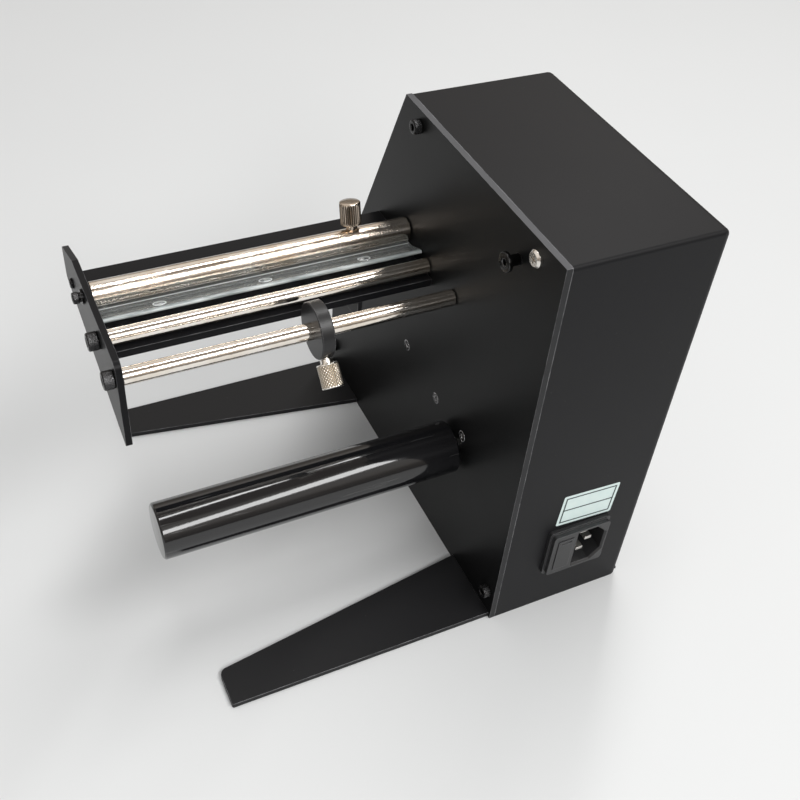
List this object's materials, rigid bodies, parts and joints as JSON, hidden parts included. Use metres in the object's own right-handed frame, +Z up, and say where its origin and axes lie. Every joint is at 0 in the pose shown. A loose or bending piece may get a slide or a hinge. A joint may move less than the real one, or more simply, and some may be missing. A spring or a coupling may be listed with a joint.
{
  "type": "label dispenser",
  "caption": "Benchtop label dispenser: a black drive box on flat legs carries chrome guide shafts, a peel plate with a clear pressure strip and a motor-driven rewind roller.",
  "frame": {"origin": "centre of the bounding box's footprint, on the floor plane under the legs", "axes": "+X along the shafts and roller, from the drive box towards the end plate; +Y towards the rear wall with the mains inlet; +Z up"},
  "size_m": [0.248, 0.225, 0.23],
  "materials": {
    "black_panel": "satin black enamel",
    "black_cover": "satin black enamel",
    "black_legs": "satin black enamel",
    "black_plate": "black anodised",
    "black_bracket": "satin black enamel",
    "mandrel": "glossy black anodised with fine wear",
    "plated_shaft": "hard chrome",
    "plated_tube": "ground and plated",
    "clear_strip": "clear acrylic with polished edges",
    "black_screws": "black oxide",
    "thumb_screws": "nickel plated, knurled",
    "bright_screws": "nickel plated",
    "zinc_hardware": "zinc plated",
    "bronze": "sintered bronze",
    "drive_steel": "ground steel",
    "gear_steel": "hobbed and oiled steel",
    "pinion_brass": "hobbed brass",
    "gearbox_alloy": "die cast",
    "motor_steel": "drawn and plated",
    "moulding": "moulded black",
    "contact_metal": "nickel plated brass",
    "pot_metal": "plated",
    "lamp_lens": "clear green lens",
    "board_green": "solder mask",
    "board_components": "moulded",
    "laminations": "varnished laminations",
    "strap": "zinc plated strap"
  },
  "bodies": {
    "frame": {"side_panel": "black_panel", "cover": "black_cover", "rear_leg": "black_legs", "front_leg": "black_legs", "end_plate": "black_plate", "peel_platform": "black_plate", "sensor_bracket": "black_bracket", "front_guide_shaft": "plated_shaft", "rear_guide_shaft": "plated_shaft", "pressure_rod": "plated_shaft", "leg_screws": "black_screws", "cover_screws": "black_screws", "shaft_screws": "black_screws", "platform_screws": "black_screws", "sensor_screws": "black_screws", "pressure_rod_screws": "black_screws", "pressure_rod_washer": "black_screws", "holder_stud": "black_screws", "panel_sunk_screws": "bright_screws", "cover_cross_screw": "bright_screws", "leg_nuts": "zinc_hardware", "cover_nuts": "zinc_hardware", "panel_nuts": "zinc_hardware", "motor_screws": "zinc_hardware", "electronics_screws": "zinc_hardware", "board_standoffs": "zinc_hardware", "roller_bush": "bronze", "idler_pin": "drive_steel", "gearbox_plate": "gearbox_alloy", "gearbox_case": "gearbox_alloy", "motor_can": "motor_steel", "motor_cap": "moulding", "label_sensor": "moulding", "inlet_body": "moulding", "switch_frame": "moulding", "inlet_pins": "contact_metal", "potentiometer": "pot_metal", "potentiometer_nut": "pot_metal", "indicator_lamp": "lamp_lens", "control_board": "board_green", "board_parts": "board_components", "transformer": "laminations", "transformer_bracket": "strap"},
    "pressure_bar": {"pressure_tube": "plated_tube", "pressure_strip": "clear_strip", "strip_screws": "bright_screws"},
    "pressure_screw": {"pressure_thumb_screw": "thumb_screws"},
    "edge_guide": {"edge_guide_ring": "black_plate"},
    "guide_screw": {"ring_thumb_screw": "thumb_screws"},
    "roller": {"rewind_roller": "mandrel", "roller_shaft": "drive_steel", "drive_wheel": "gear_steel"},
    "idler": {"idler_gear": "gear_steel"},
    "motor_rotor": {"motor_pinion": "pinion_brass", "motor_shaft": "drive_steel"},
    "drawer": {"fuse_drawer": "moulding", "fuse": "contact_metal"},
    "rocker": {"switch_rocker": "moulding"},
    "knob": {"speed_knob": "moulding", "potentiometer_shaft": "pot_metal"}
  },
  "joints": [
    {"name": "roller_spin", "type": "hinge", "parent": "frame", "child": "roller", "pos_m": [-0.043, 0.04755, 0.075], "axis": [1, 0, 0], "continuous": true},
    {"name": "idler_spin", "type": "hinge", "parent": "frame", "child": "idler", "pos_m": [-0.043, 0.03965, 0.08799], "axis": [1, 0, 0], "continuous": true},
    {"name": "motor_spin", "type": "hinge", "parent": "frame", "child": "motor_rotor", "pos_m": [-0.043, 0.03965, 0.07359], "axis": [1, 0, 0], "continuous": true},
    {"name": "pressure_bar_lift", "type": "hinge", "parent": "frame", "child": "pressure_bar", "pos_m": [-0.043, -0.02395, 0.1627], "axis": [1, 0, 0], "range_deg": [-10, 60]},
    {"name": "pressure_screw_turn", "type": "hinge", "parent": "pressure_bar", "child": "pressure_screw", "pos_m": [-0.013, -0.02395, 0.1627], "axis": [0, -0.2588, 0.9659], "range_deg": [0, 720]},
    {"name": "edge_guide_slide", "type": "slide", "parent": "frame", "child": "edge_guide", "axis": [1, 0, 0], "range_m": [-0.058, 0.078]},
    {"name": "guide_screw_turn", "type": "hinge", "parent": "edge_guide", "child": "guide_screw", "pos_m": [0.026, 0.02855, 0.1577], "axis": [0, 0.7071, -0.7071], "range_deg": [0, 720]},
    {"name": "fuse_drawer_slide", "type": "slide", "parent": "frame", "child": "drawer", "axis": [0, 1, 0], "range_m": [0, 0.012]},
    {"name": "switch_tilt", "type": "hinge", "parent": "frame", "child": "rocker", "pos_m": [-0.0835, -0.08818, 0.11292], "axis": [1, 0, 0], "range_deg": [-18, 0]},
    {"name": "speed_knob_turn", "type": "hinge", "parent": "frame", "child": "knob", "pos_m": [-0.0835, -0.0704, 0.15317], "axis": [0, -0.9147, 0.4042], "range_deg": [-150, 150]}
  ],
  "couplings": [
    {"joint": "idler_spin", "follows": "roller_spin", "ratio": -2.1667},
    {"joint": "motor_spin", "follows": "roller_spin", "ratio": 6.5}
  ]
}
